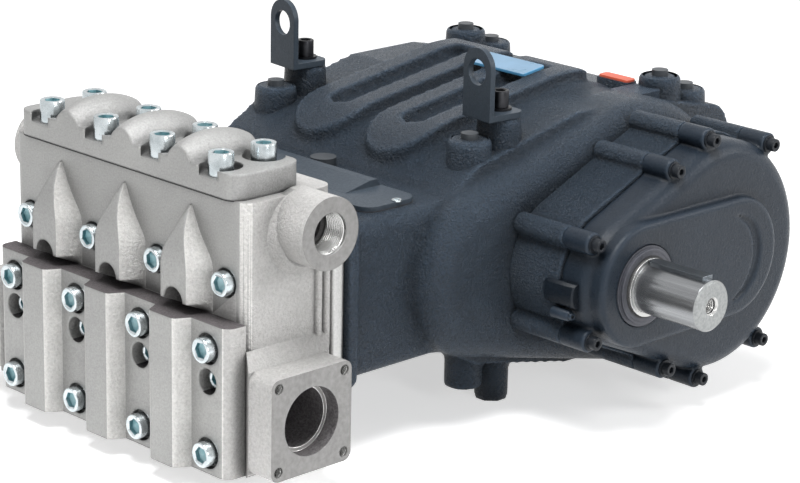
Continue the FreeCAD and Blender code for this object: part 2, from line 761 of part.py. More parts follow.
finish(carve("front_valve_cover", front, front_cuts), "front_valve_cover")

# Top valve cover: a slab with three cast domes between the bolt pockets, cut off flat at front and rear
slab = rounded(
    "top_slab_rounded",
    box("top_slab", "-top_cover_width / 2", "top_cover_front", "head_top", "top_cover_width",
        "top_cover_rear - top_cover_front", "top_cover_rim"), "top_cover_round", along("z"))
domes = []
for n in (0, 1, 2):
    dome_form = doc.addObject("Part::Ellipsoid", "top_dome_form_%d" % n)
    dome_form.Angle1 = -90
    bind(dome_form, {"Radius1": "top_dome_half_height", "Radius2": "top_dome_half_width",
                     "Radius3": "top_dome_half_depth"})
    place(dome_form, "%d * top_bolt_pitch" % (n - 1), "top_dome_y",
          "head_top + top_dome_crest - top_dome_half_height")
    domes.append(dome_form)
above = box("top_dome_space", "-top_cover_width / 2", "top_cover_front", "head_top + top_cover_rim / 2",
            "top_cover_width", "top_cover_rear - top_cover_front", "top_dome_crest")
dome_caps = meet("top_domes", join("top_dome_forms", domes), above)
TOP_COLUMNS = ["%.1f * top_bolt_pitch" % factor for factor in (-1.5, -0.5, 0.5, 1.5)]
pockets = [
    rod("top_pocket_%s_%d" % (row, n), "z", column, row, "head_top + top_cover_seat", "top_spot_radius",
        "top_dome_crest")
    for n, column in enumerate(TOP_COLUMNS) for row in ("top_bolt_front", "top_bolt_rear")]
finish(carve("top_valve_cover", join("top_solid", [slab, dome_caps]), pockets), "top_valve_cover")

# Lifting brackets: bent plate with an eye, held by one screw on the bracket boss
for side, tag in SIDES:
    upright = rounded(
        "bracket_upright_rounded_" + tag,
        box("bracket_upright_" + tag, "-bracket_width / 2", "-bracket_screw_gap - bracket_thickness", "0",
            "bracket_width", "bracket_thickness", "bracket_height"),
        "bracket_width / 2 - seat_gap",
        lambda edge: along("y")(edge) and edge.CenterOfMass.z > size("bracket_height / 2"))
    foot = rounded(
        "bracket_foot_rounded_" + tag,
        box("bracket_foot_" + tag, "-bracket_width / 2", "-bracket_screw_gap - bracket_thickness", "0",
            "bracket_width", "bracket_foot", "bracket_thickness"),
        "bracket_width / 4",
        lambda edge: along("z")(edge) and edge.CenterOfMass.y > 0)
    eye = rod("bracket_eye_" + tag, "y", "0", "-bracket_screw_gap - 2 * bracket_thickness", "bracket_eye_height",
              "bracket_eye_diameter / 2", "3 * bracket_thickness")
    bracket = carve("bracket_" + tag, join("bracket_solid_" + tag, [upright, foot]), [eye])
    bracket.Placement = Placement(Vector(), Rotation(Vector(0, 0, 1), size("bracket_yaw")))
    bracket.setExpression("Placement.Rotation.Angle", link("bracket_yaw"))
    place(bracket, "%d * %s" % (side, BOSS_X), "-foot_pitch_y / 2", "crank_height + bracket_boss_rise")
    finish(bracket, "lifting_bracket_" + tag)

# Deck cover with a raised panel that slopes down to the front, and the cap behind it
deck_plate = rounded(
    "deck_plate_rounded",
    box("deck_plate", "-deck_cover_width / 2", "deck_cover_front", DECK, "deck_cover_width",
        "deck_cover_rear - deck_cover_front", "deck_cover_thickness"),
    "deck_cover_round", along("z"))
deck_panel = new_body("deck_panel")
panel_sketch = new_sketch(deck_panel, "YZ_Plane", "deck_panel_side", "-deck_panel_width / 2")
PANEL_Z = DECK + " + deck_cover_thickness"
polygon(panel_sketch, [
    ("deck_panel_rear - deck_panel_depth", PANEL_Z),
    ("deck_panel_rear", PANEL_Z),
    ("deck_panel_rear - deck_panel_slope", PANEL_Z + " + deck_panel_rise"),
    ("deck_panel_rear - deck_panel_slope - deck_panel_crest", PANEL_Z + " + deck_panel_rise"),
])
pad(deck_panel, panel_sketch, "deck_panel_width", "deck_panel_pad")
finish(join("deck_cover", [deck_plate, deck_panel]), "deck_cover")
finish(rod("deck_cap", "z", "deck_cap_x", "deck_cap_y", DECK, "deck_cap_radius", "deck_cap_height"), "deck_cap")

# Rear cover, sight glass in it and bearing cover on the blind side of the crankshaft
REAR_BOTTOM = "crank_height - chamber_rear_half"
rear_plate = rounded(
    "rear_plate_rounded",
    box("rear_plate", "-rear_cover_width / 2", "chamber_rear", REAR_BOTTOM, "rear_cover_width",
        "rear_cover_thickness", "2 * chamber_rear_half"), "rear_cover_round", along("y"))
rear_panel = rounded(
    "rear_panel_rounded",
    box("rear_panel", "-rear_cover_width / 2 + rear_panel_inset", "chamber_rear + rear_cover_thickness",
        REAR_BOTTOM + " + rear_panel_inset", "rear_cover_width - 2 * rear_panel_inset", "rear_panel_rise",
        "2 * chamber_rear_half - 2 * rear_panel_inset"), "rear_cover_round / 2", along("y"))
finish(join("rear_cover", [rear_plate, rear_panel]), "rear_cover")
finish(rod("sight_glass", "y", "0", "chamber_rear + rear_cover_thickness + rear_panel_rise",
           "crank_height - sight_glass_drop / 2", "sight_glass_radius", "sight_glass_length"), "sight_glass")
finish(join("bearing_cover", [
    rod("bearing_disc", "-x", "-case_width / 2", "crank_y", "crank_height", "bearing_cover_radius",
        "bearing_cover_thickness"),
    rod("bearing_step", "-x", "-case_width / 2 - bearing_cover_thickness", "crank_y", "crank_height",
        "bearing_step_radius", "bearing_step_rise")]), "bearing_cover")

# Plugs in the threaded bosses that nothing uses
for side, tag in SIDES:
    column = "%d * %s" % (side, BOSS_X)
    for label, y, rise in (
            ("front_boss_plug_", "-outer_boss_pitch_y / 2", "outer_boss_rise"),
            ("rear_boss_plug_", "outer_boss_pitch_y / 2", "outer_boss_rise"),
            ("rear_lifting_plug_", "foot_pitch_y / 2", "rear_boss_rise")):
        finish(rod(label + tag, "z", column, y, "crank_height + " + rise, "plug_diameter / 2", "plug_height"),
               label + tag)

doc.recompute()
for item in doc.Objects:
    state = " ".join(item.State)
    if "Invalid" in state or "Error" in state:
        raise RuntimeError("%s failed: %s" % (item.Name, state))
for item in FINISHED:
    if item.Shape.isNull() or not item.Shape.isValid():
        raise RuntimeError("%s has no valid shape" % item.Label)
for item in FINISHED:
    item.Shape.exportStep("parts/%s.step" % item.Label)
    print("%-24s solids %d volume %.0f" % (item.Label, len(item.Shape.Solids), item.Shape.Volume))
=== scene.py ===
import math
import random

import bpy
from mathutils import Matrix, Vector


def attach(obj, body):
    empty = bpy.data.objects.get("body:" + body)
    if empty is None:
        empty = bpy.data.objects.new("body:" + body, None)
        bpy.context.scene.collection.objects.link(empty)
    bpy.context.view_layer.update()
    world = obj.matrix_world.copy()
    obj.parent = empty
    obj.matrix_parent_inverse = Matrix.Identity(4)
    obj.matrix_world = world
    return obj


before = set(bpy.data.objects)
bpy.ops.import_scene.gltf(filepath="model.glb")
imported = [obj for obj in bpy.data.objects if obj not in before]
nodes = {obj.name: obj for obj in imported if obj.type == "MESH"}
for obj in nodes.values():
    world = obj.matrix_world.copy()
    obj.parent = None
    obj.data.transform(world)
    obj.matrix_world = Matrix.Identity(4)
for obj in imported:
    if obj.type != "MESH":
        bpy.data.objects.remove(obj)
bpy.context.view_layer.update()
random.seed(7)

MM = 0.001
SIDES = (-1, 1)
UP, FRONT, REAR, LEFT, RIGHT = (0, 0, 1), (0, -1, 0), (0, 1, 0), (-1, 0, 0), (1, 0, 0)

# Places and sizes shared with the CAD, in millimetres
CRANK_Y, CRANK_Z, SHAFT_Y = 36.0, 154.0, -93.0
SHAFT_END_X, SHAFT_CHAMFER = 397.0, 2.0
COLUMNS = [-144.0, -48.0, 48.0, 144.0]
TOP_COLUMNS = [-123.84, -41.28, 41.28, 123.84]
TOP_ROWS = [-463.6, -412.4]
TOP_SEAT = 291.0
BOSS_X, BOSS_Y, OUTER_Y = 141.0, 120.0, 161.0
HEAD_FRONT, HEAD_SIDE = -475.0, 172.0
HEAD_SCREW_Z = 196.0
FRONT_FACE, FRONT_COVER_TOP = -497.0, 162.0
COVER_SCREW_ROWS = (138.0, 37.0)
COUNTERBORE_DEPTH = 7
SERVICE_HOLE_Z, SERVICE_HOLE_DEPTH = 106.5, 18
OUTLET = (212.0, -410.0, 245.0)
OUTLET_THREAD_DEPTH = 30.0
SUCTION = (218.0, -436.0, 74.0)
FLANGE_HOLE = 40
COVER_FACE_X = 315.0
# Bore radii with a margin that takes in the bore's own faces
PASSAGE_RADIUS, OUTLET_RADIUS = 15.5, 20.2
GALLERY_RADIUS, MOUTH_RADIUS = 29.3, 33.3
CENTRE_HOLE_RADIUS, SHAFT_RADIUS = 9.2, 25.3

# Mesh and shading detail
SHARP_ANGLE = 32.0
TOP_COVER_SHARP_ANGLE = 50.0
CORNER_SAMPLES = 6


# Materials -------------------------------------------------------------
WHITE = (1.0, 1.0, 1.0)


def grey(value):
    return (value, value, value)


def fill(node, values):
    # Sets inputs of a node by their names, with _ in place of spaces.
    for key, value in values.items():
        node.inputs[key.replace("_", " ")].default_value = value


class Shade:
    # Builds one node material round a Principled shader.
    def __init__(self, name):
        self.material = bpy.data.materials.new(name)
        self.material.use_nodes = True
        self.tree = self.material.node_tree
        self.tree.nodes.clear()
        output = self.add("ShaderNodeOutputMaterial")
        self.bsdf = self.add("ShaderNodeBsdfPrincipled")
        self.link(self.bsdf, "BSDF", output, "Surface")
        self.coord = self.add("ShaderNodeTexCoord")
        self.normal = None

    def add(self, kind, **values):
        node = self.tree.nodes.new(kind)
        fill(node, values)
        return node

    def set(self, **values):
        fill(self.bsdf, values)

    def link(self, a, out, b, into):
        self.tree.links.new(a.outputs[out], b.inputs[into])

    def stretched(self, scale):
        # Object coordinates with their own scale on each axis.
        node = self.add("ShaderNodeMapping", Scale=scale)
        self.link(self.coord, "Object", node, "Vector")
        return node

    def noise(self, scale, detail=4.0, rough=0.55, mapping=None):
        node = self.add("ShaderNodeTexNoise", Scale=scale, Detail=detail, Roughness=rough)
        if mapping is None:
            self.link(self.coord, "Object", node, "Vector")
        else:
            self.link(mapping, "Vector", node, "Vector")
        return node

    def ramp(self, source, out, low, high):
        # Colour ramp between two stops, each a position and a colour.
        node = self.add("ShaderNodeValToRGB")
        for stop, (position, colour) in zip(node.color_ramp.elements, (low, high)):
            stop.position = position
            stop.color = (*colour, 1)
        self.link(source, out, node, "Fac")
        return node

    def multiply(self, first, second):
        # Mix node for colours: sockets 6 and 7 take them, output 2 gives the product. The gamma
        # node of 1 passes it on under the name Color.
        node = self.add("ShaderNodeMix")
        node.data_type = "RGBA"
        node.blend_type = "MULTIPLY"
        node.inputs[0].default_value = 1.0
        self.link(first, "Color", node, 6)
        self.link(second, "Color", node, 7)
        product = self.add("ShaderNodeGamma")
        self.link(node, 2, product, "Color")
        return product

    def span(self, source, out, low, high, to_low, to_high):
        node = self.add("ShaderNodeMapRange", From_Min=low, From_Max=high,
                        To_Min=to_low, To_Max=to_high)
        self.link(source, out, node, "Value")
        return node

    def painted_corner_shade(self, colour, distance, darkest):
        # Darkens a colour in inner corners, a painted shade where little light comes.
        node = self.add("ShaderNodeAmbientOcclusion", Distance=distance)
        node.samples = CORNER_SAMPLES
        corner_shade = self.ramp(node, "AO", (0.25, grey(darkest)), (0.95, WHITE))
        return self.multiply(colour, corner_shade)

    def colour(self, source):
        self.link(source, "Color", self.bsdf, "Base Color")

    def roughness(self, source, at_low, at_high):
        # Roughness that follows the dark and the light parts of a noise.
        self.link(self.span(source, "Fac", 0.3, 0.7, at_low, at_high), "Result",
                  self.bsdf, "Roughness")

    def soft_edges(self, radius):
        node = self.add("ShaderNodeBevel", Radius=radius)
        node.samples = CORNER_SAMPLES
        self.normal = node
        self.link(node, "Normal", self.bsdf, "Normal")

    def bump(self, source, strength, distance):
        # Adds a bump on top of the earlier ones.
        node = self.add("ShaderNodeBump", Strength=strength, Distance=distance)
        self.link(source, "Fac", node, "Height")
        if self.normal is not None:
            self.link(self.normal, "Normal", node, "Normal")
        self.normal = node
        self.link(node, "Normal", self.bsdf, "Normal")


def cast_steel(name, low, high, rough=0.5, grain=430.0, depth=0.0016, edge=0.0026, metal=0.55,
               pits=0.72):
    # Shot-blasted stainless casting: fine pitted grain over waves, and slow colour drift.
    s = Shade(name)
    s.soft_edges(edge)
    s.set(Metallic=metal)
    fine = s.noise(grain, detail=6.0, rough=0.7)
    drift = s.noise(11.0, detail=5.0, rough=0.6)
    tone = s.ramp(drift, "Fac", (0.25, low), (0.75, high))
    speckle = s.ramp(fine, "Fac", (0.34, grey(pits)), (0.62, WHITE))
    # Painted shade darkens the colour in the inner corners.
    s.colour(s.painted_corner_shade(s.multiply(tone, speckle), distance=0.025, darkest=0.35))
    s.roughness(fine, rough + 0.1, rough - 0.08)
    s.bump(s.noise(70.0, detail=3.0), strength=0.4, distance=0.0016)
    s.bump(fine, strength=0.9, distance=depth)
    return s.material


def machined_steel(name, low, high, stretch, rough, metal=0.85, scale=70.0):
    # Milled or ground face: fine lines along one direction over a faint cloudiness.
    s = Shade(name)
    s.soft_edges(0.0012)
    s.set(Metallic=metal)
    lines = s.noise(scale, detail=5.0, rough=0.6, mapping=s.stretched(stretch))
    s.colour(s.ramp(lines, "Fac", (0.32, low), (0.68, high)))
    s.roughness(s.noise(22.0, detail=3.0), rough - 0.05, rough + 0.08)
    s.bump(lines, strength=0.3, distance=0.0002)
    return s.material


def paint(name, low, high, rough, depth, speckle_low, grain=330.0, edge=0.0, edge_light_and_crease_shade=0.0):
    # Satin enamel over a sand-cast skin, whose grains show through; with a painted highlight on
    # edges and a painted shade in creases.
    s = Shade(name)
    if edge:
        s.soft_edges(edge)
    s.set(Metallic=0.0, IOR=1.45, Specular_IOR_Level=0.24, Sheen_Weight=0.04, Sheen_Roughness=0.3,
          Sheen_Tint=(0.6, 0.78, 1.0, 1.0))
    fine = s.noise(grain, detail=6.0, rough=0.68)
    drift = s.noise(9.0, detail=8.0, rough=0.7)
    tone = s.ramp(drift, "Fac", (0.3, low), (0.7, high))
    tone = s.multiply(tone, s.ramp(fine, "Fac", (0.32, grey(speckle_low)), (0.66, WHITE)))
    # Pointiness paints a highlight on convex edges and a shade in creases; painted shade then
    # darkens the inner corners.
    if edge_light_and_crease_shade:
        edge_and_crease_ramp = s.ramp(s.add("ShaderNodeNewGeometry"), "Pointiness",
                       (0.43, grey(1.0 - edge_light_and_crease_shade)), (0.57, grey(1.0 + 1.6 * edge_light_and_crease_shade)))
        edge_and_crease_ramp.color_ramp.elements.new(0.5).color = (*WHITE, 1)
        tone = s.painted_corner_shade(s.multiply(tone, edge_and_crease_ramp), distance=0.04, darkest=0.3)
    s.colour(tone)
    s.roughness(fine, rough + 0.1, rough - 0.08)
    s.bump(s.noise(60.0, detail=2.0), strength=0.2, distance=0.0010)
    s.bump(fine, strength=1.0, distance=depth)
    return s.material


def plated(name, low, high, rough=0.22):
    # Zinc plate or blackened steel: bright metal with soft streaks.
    s = Shade(name)
    s.set(Metallic=1.0)
    cloud = s.noise(90.0, detail=4.0)
    s.colour(s.ramp(cloud, "Fac", (0.35, low), (0.65, high)))
    s.roughness(cloud, rough - 0.06, rough + 0.1)
    s.bump(s.noise(900.0, detail=3.0), strength=0.2, distance=0.0001)
    return s.material


def moulded(name, low, high, rough):
    # Plastic, rubber or glass with a faint cloudiness.
    s = Shade(name)
    s.set(Metallic=0.0, IOR=1.46)
    cloud = s.noise(40.0, detail=3.0)
    s.colour(s.ramp(cloud, "Fac", (0.35, low), (0.65, high)))
    s.roughness(cloud, rough - 0.05, rough + 0.08)
    s.bump(s.noise(700.0, detail=3.0), strength=0.25, distance=0.00015)
    return s.material


CAST = cast_steel("stainless_cast", (0.52, 0.515, 0.505), (0.66, 0.65, 0.64),
                  grain=380.0, depth=0.0034, metal=0.75, pits=0.82)
# Brighter copy of the cast, painted light on flanks that face the light from the right.
CAST_PAINTED_LIT = cast_steel("stainless_cast_painted_lit", (0.74, 0.73, 0.71), (0.88, 0.87, 0.85),
                      grain=380.0, depth=0.0034, metal=0.7, pits=0.8)
SKIN = cast_steel("stainless_skimmed", (0.36, 0.36, 0.355), (0.44, 0.44, 0.43),
                  rough=0.42, grain=520.0, depth=0.0007, edge=0.0045, metal=0.75, pits=0.84)
TOP_SKIN = cast_steel("stainless_top", (0.34, 0.34, 0.335), (0.43, 0.43, 0.425),
                      rough=0.55, grain=520.0, depth=0.0009, edge=0.0045, metal=0.75, pits=0.84)
# Darker copy of the cast, painted shade on the front cover's flat top.
CAST_PAINTED_SHADE = cast_steel("stainless_cast_shadowed", (0.13, 0.115, 0.12), (0.18, 0.165, 0.17),
                       rough=0.55)
# Dark copy of the cast, painted shade inside the bores.
BORE_PAINTED_SHADE = cast_steel("stainless_bore_painted_shade", (0.16, 0.15, 0.155), (0.30, 0.285, 0.29),
                  rough=0.65, edge=0.0004, metal=0.3, pits=0.4)

MILLED = machined_steel("stainless_milled", (0.42, 0.42, 0.415), (0.54, 0.54, 0.53),
                        stretch=(1.2, 9.0, 9.0), rough=0.4, metal=0.8)
FACED = machined_steel("stainless_faced", (0.20, 0.197, 0.193), (0.26, 0.257, 0.253),
                       stretch=(3.0, 3.0, 3.0), rough=0.38)
STEP = machined_steel("stainless_step", (0.76, 0.75, 0.735), (0.84, 0.83, 0.815),
                      stretch=(0.5, 0.5, 0.5), rough=0.32)
# Near-black for the lower sides and roots of the threads: painted shade.
THREAD_PAINTED_SHADE = machined_steel("stainless_thread_painted_shade", grey(0.05), grey(0.09),
                      stretch=(3.0, 3.0, 3.0), rough=0.4)
# Ground shaft: lengthwise dark and light bands, painted reflections over the grinding lines.
GROUND_WITH_PAINTED_REFLECTIONS = machined_steel("ground_shaft_painted_reflections", (0.06, 0.063, 0.07), (0.36, 0.37, 0.38),
                        stretch=(0.02, 1.0, 1.0), rough=0.22, scale=95.0)
SHAFT_END = machined_steel("turned_shaft_end", (0.24, 0.25, 0.25), (0.35, 0.36, 0.36),
                           stretch=(1.0, 5.0, 5.0), rough=0.45)
COLLAR = machined_steel("turned_collar", (0.46, 0.46, 0.45), (0.62, 0.62, 0.61),
                        stretch=(6.0, 0.4, 0.4), rough=0.25)
KEY = machined_steel("drawn_key", (0.10, 0.115, 0.13), (0.16, 0.175, 0.19),
                     stretch=(0.5, 6.0, 6.0), rough=0.3)
# Seal case colour, used also as painted shade on the shaft's thread.
SEAL_AND_THREAD_SHADE = machined_steel("seal_case_and_thread_shade", (0.055, 0.058, 0.072), (0.085, 0.088, 0.104),
                      stretch=(2.0, 2.0, 2.0), rough=0.5, metal=0.3)

PAINT = paint("case_paint", (0.036, 0.053, 0.077), (0.055, 0.078, 0.108),
              rough=0.28, depth=0.0040, speckle_low=0.36, grain=380.0, edge_light_and_crease_shade=0.6)
PAINT_COVER = paint("cover_paint", (0.016, 0.024, 0.036), (0.022, 0.033, 0.048),
                    rough=0.3, depth=0.0006, speckle_low=0.75, edge=0.0015, edge_light_and_crease_shade=0.5)
PAINT_CRISP = paint("fitting_paint", (0.042, 0.056, 0.073), (0.055, 0.072, 0.092),
                    rough=0.38, depth=0.0003, speckle_low=0.75, edge=0.0010)
SCREW_PAINT = paint("painted_screws", (0.014, 0.017, 0.022), (0.022, 0.026, 0.032),
                    rough=0.3, depth=0.0002, speckle_low=0.8, edge=0.0008)

ZINC = plated("zinc_screws", (0.48, 0.53, 0.55), (0.66, 0.71, 0.73))
SOCKET = plated("zinc_sockets", (0.20, 0.34, 0.37), (0.38, 0.52, 0.55), rough=0.4)
BLACKENED = plated("blackened_screws", (0.020, 0.021, 0.024), (0.045, 0.046, 0.05), rough=0.34)

# Dark rubber for the seal lip, used also as painted shadow lines at the joints.
RUBBER_AND_JOINT_SHADOW = moulded("dark_rubber_and_joint_shadow", (0.012, 0.012, 0.014), (0.028, 0.028, 0.03), rough=0.6)
PLUG = moulded("plug_plastic", (0.035, 0.041, 0.048), (0.055, 0.062, 0.07), rough=0.4)
BLUE = moulded("plain_blue_edge", (0.07, 0.26, 0.46), (0.10, 0.32, 0.54), rough=0.35)
PALE_BLUE = moulded("plain_pale_blue_plate", (0.16, 0.30, 0.44), (0.21, 0.36, 0.52), rough=0.3)
ORANGE = moulded("plain_orange_plate", (0.62, 0.10, 0.05), (0.72, 0.15, 0.08), rough=0.4)
GLASS = moulded("sight_glass_window", (0.16, 0.11, 0.03), (0.26, 0.18, 0.05), rough=0.12)


# Mesh building -----------------------------------------------------------
def place_in_scene(item):
    bpy.context.scene.collection.objects.link(item)


def facing(place, direction, spin=0.0):
    # Matrix whose z axis points along the direction, with its origin at the place, in mm.
    axis = Vector(direction).normalized()
    turn = axis.to_track_quat("Z", "Y").to_matrix().to_4x4()
    return Matrix.Translation(Vector(place)) @ turn @ Matrix.Rotation(spin, 4, "Z")


def polar(matrix, radius, angle, z):
    return matrix @ Vector((radius * math.cos(angle), radius * math.sin(angle), z))


def around(matrix, radius, z, count):
    return [polar(matrix, radius, 2 * math.pi * k / count, z) for k in range(count)]


def six_sided(matrix, across, z, count, scale=1.0):
    # Ring of points on a hexagon with this width across its flats.
    ring = []
    for k in range(count):
        angle = 2 * math.pi * k / count
        off_flat = angle % (math.pi / 3) - math.pi / 6
        ring.append(polar(matrix, across / 2 / math.cos(off_flat) * scale, angle, z))
    return ring


class Piece:
    # Collects the faces of many small things into one mesh, in mm. A face's mark is the number
    # of its material.
    def __init__(self, name, body="housing", slot=None):
        self.name, self.body, self.slot_name = name, body, slot
        self.verts, self.faces, self.marks = [], [], []

    def rings(self, rings, mark=0, close_start=False, close_end=False):
        # Joins rings of points, each of the same length, into a skin. The mark is one for all,
        # or a list with one for each band.
        start = len(self.verts)
        count = len(rings[0])
        for ring in rings:
            self.verts += [tuple(p) for p in ring]
        marks = mark if isinstance(mark, list) else [mark] * (len(rings) - 1)
        for r in range(len(rings) - 1):
            for k in range(count):
                a = start + r * count + k
                b = start + r * count + (k + 1) % count
                self.faces.append((a, b, b + count, a + count))
                self.marks.append(marks[r])
        if close_start:
            self.faces.append(tuple(start + k for k in reversed(range(count))))
            self.marks.append(marks[0])
        if close_end:
            base = start + (len(rings) - 1) * count
            self.faces.append(tuple(base + k for k in range(count)))
            self.marks.append(marks[-1])

    def lathe(self, matrix, profile, count, mark=0, close_end=False):
        # Turns (height, radius) pairs round the z axis of the matrix.
        self.rings([around(matrix, radius, height, count) for height, radius in profile],
                   mark, close_end=close_end)

    def build(self, *materials):
        mesh = bpy.data.meshes.new(self.name)
        mesh.from_pydata([tuple(c * MM for c in v) for v in self.verts], [], self.faces)
        for material in materials:
            mesh.materials.append(material)
        for face, mark in zip(mesh.polygons, self.marks):
            face.material_index = mark
            face.use_smooth = True
        mesh.update()
        piece = bpy.data.objects.new(self.name, mesh)
        place_in_scene(piece)
        mesh.set_sharp_from_angle(angle=math.radians(SHARP_ANGLE))
        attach(piece, self.body)


def cap_screw(piece, place, direction, head, height, socket, depth, spin=0.0, count=48):
    # Cylinder head with a chamfered rim, mark 0, and a hexagon socket, mark 1. The socket is
    # given by its width across flats and its depth.
    matrix = facing(place, direction, spin)
    half = head / 2
    edge = head * 0.035
    rings = [around(matrix, half - edge * 0.4, 0, count),
             around(matrix, half, edge * 0.4, count),
             around(matrix, half, height - edge * 1.6, count),
             around(matrix, half - edge * 0.5, height - edge * 0.5, count),
             around(matrix, half - edge * 1.6, height, count),
             around(matrix, socket * 0.66, height, count),
             six_sided(matrix, socket, height - socket * 0.07, count),
             six_sided(matrix, socket, height - depth, count, scale=0.985),
             around(matrix, socket * 0.12, height - depth - socket * 0.12, count)]
    piece.rings(rings, [0, 0, 0, 0, 0, 0, 1, 1], close_start=True, close_end=True)


def thread(piece, matrix, radius, depth, pitch, height, count):
    # One ridge that winds down the wall of a hole, from its mouth inwards: mark 0 is its upper
    # side and crest, in bright metal, mark 1 its lower side and root, in a dark painted shade.
    steps = int(depth / pitch * count)
    run_out = count * 0.5
    start = len(piece.verts)
    for n in range(steps + 1):
        angle = 2 * math.pi * n / count
        z = -pitch * n / count
        crest = radius - height * min(1.0, n / run_out, (steps - n) / run_out)
        for r, share in ((radius, 0), (crest, 0.34), (crest, 0.46), (radius, 0.8), (radius, 1)):
            piece.verts.append(tuple(polar(matrix, r, angle, z - pitch * share)))
    for n in range(steps):
        for k in range(4):
            a = start + 5 * n + k
            piece.faces.append((a, a + 1, a + 6, a + 5))
            piece.marks.append(1 if k > 1 else 0)


def rounded_rectangle(x0, y0, x1, y1, radius, steps=6):
    points = []
    for cx, cy, start in ((x1 - radius, y1 - radius, 0), (x0 + radius, y1 - radius, 90),
                          (x0 + radius, y0 + radius, 180), (x1 - radius, y0 + radius, 270)):
        for n in range(steps + 1):
            turn = math.radians(start + 90 * n / steps)
            points.append((cx + radius * math.cos(turn), cy + radius * math.sin(turn)))
    return points


def slab(piece, corners, normal, thickness, mark_top=0):
    # A thin plate between an outline and the same outline moved along the normal, with a
    # chamfer round its top.
    chamfer = 0.5
    rise = Vector(normal).normalized()
    low = [Vector(c) for c in corners]
    middle = sum(low, Vector()) / len(low)
    rings = [low,
             [c + rise * (thickness - chamfer) for c in low],
             [c + rise * thickness + (middle - c).normalized() * chamfer for c in low]]
    piece.rings(rings, close_start=True)
    start = len(piece.verts) - len(low)
    piece.faces.append(tuple(range(start, start + len(low))))
    piece.marks.append(mark_top)


# Carried CAD nodes -------------------------------------------------------
def dress(name, materials, choose=None, sharp=SHARP_ANGLE):
    # Gives each face the material that choose names from its centre, in mm, and its normal.
    item = nodes[name]
    item.data.materials.clear()
    for material in materials:
        item.data.materials.append(material)
    for face in item.data.polygons:
        wanted = choose(face.center / MM, face.normal) if choose else materials[0]
        face.material_index = materials.index(wanted)
        face.use_smooth = True
    item.data.set_sharp_from_angle(angle=math.radians(sharp))
    return item


def skin(item, voxel, passes):
    # Casting skin: an even mesh over the node, relaxed so that edges and inner corners round off.
    remesh = item.modifiers.new("skin", "REMESH")
    remesh.mode = "VOXEL"
    remesh.voxel_size = voxel * MM
    remesh.use_smooth_shade = True
    relax = item.modifiers.new("relax", "SMOOTH")
    relax.factor = 0.5
    relax.iterations = passes


def from_axis(centre, y, z):
    return math.hypot(centre.y - y, centre.z - z)


def manifold_faces(centre, normal):
    outlet = from_axis(centre, OUTLET[1], OUTLET[2])
    suction = from_axis(centre, SUCTION[1], SUCTION[2])
    # Inside the bores the dark bore colour is painted shade.
    if outlet < PASSAGE_RADIUS and abs(centre.x) < OUTLET[0] - OUTLET_THREAD_DEPTH + 1:
        return BORE_PAINTED_SHADE
    if outlet < OUTLET_RADIUS and abs(normal.x) < 0.5:
        return SKIN
    if suction < GALLERY_RADIUS:
        return BORE_PAINTED_SHADE
    if suction < MOUTH_RADIUS:
        return STEP if abs(normal.x) > 0.5 else BORE_PAINTED_SHADE
    if abs(centre.x) > OUTLET[0] - 0.5 and abs(normal.x) > 0.9:
        return FACED
    # What is left is cast, apart from the front with its bays: there the plane and the left
    # flanks are skimmed, and the right flanks get the brighter cast as painted light.
    if abs(centre.x) > HEAD_SIDE - 1 or normal.y > -0.2 or centre.z < FRONT_COVER_TOP - 2:
        return CAST
    if centre.y > HEAD_FRONT - 1 and normal.y < -0.97:
        return SKIN
    return CAST_PAINTED_LIT if normal.x > 0.06 else SKIN


def front_cover_faces(centre, normal):
    # The flat top takes the darker cast as painted shade, and the right flanks of the humps the
    # brighter cast as painted light.
    if normal.z > 0.9:
        return CAST_PAINTED_SHADE
    if normal.y < -0.97:
        return SKIN
    return CAST_PAINTED_LIT if normal.x > 0.3 and abs(centre.x) < 165 else CAST


def top_cover_faces(centre, normal):
    return SKIN if normal.y < -0.8 and abs(normal.z) < 0.5 else TOP_SKIN


def shaft_faces(centre, normal):
    # The end with its chamfers, then the collar, which is wider than the shaft.
    reach = from_axis(centre, SHAFT_Y, CRANK_Z)
    if centre.x > SHAFT_END_X - SHAFT_CHAMFER - 0.5:
        return SHAFT_END if reach > CENTRE_HOLE_RADIUS else COLLAR
    return COLLAR if reach > SHAFT_RADIUS else GROUND_WITH_PAINTED_REFLECTIONS


dress("manifold_block", [CAST, SKIN, FACED, BORE_PAINTED_SHADE, STEP, CAST_PAINTED_LIT], manifold_faces)
dress("packing_plate", [MILLED])
dress("front_valve_cover", [CAST, SKIN, CAST_PAINTED_SHADE, CAST_PAINTED_LIT], front_cover_faces)
dress("top_valve_cover", [TOP_SKIN, SKIN], top_cover_faces, TOP_COVER_SHARP_ANGLE)
skin(dress("crankcase", [PAINT]), voxel=3.0, passes=2)
skin(dress("gearbox_housing", [PAINT]), voxel=1.8, passes=1)
skin(dress("gearbox_cover", [PAINT_COVER]), voxel=1.6, passes=2)
for name in ("deck_cover", "rear_cover", "bearing_cover", "lifting_bracket_left",
             "lifting_bracket_right"):
    dress(name, [PAINT_CRISP])
for name in nodes:
    if "plug" in name or name == "deck_cap":
        dress(name, [PLUG])
dress("shaft_seal", [SEAL_AND_THREAD_SHADE])
dress("input_shaft", [GROUND_WITH_PAINTED_REFLECTIONS, SHAFT_END, COLLAR], shaft_faces)
dress("shaft_key", [KEY])
dress("sight_glass", [GLASS])


# Screws ------------------------------------------------------------------
def any_turn():
    return random.uniform(0, 1)


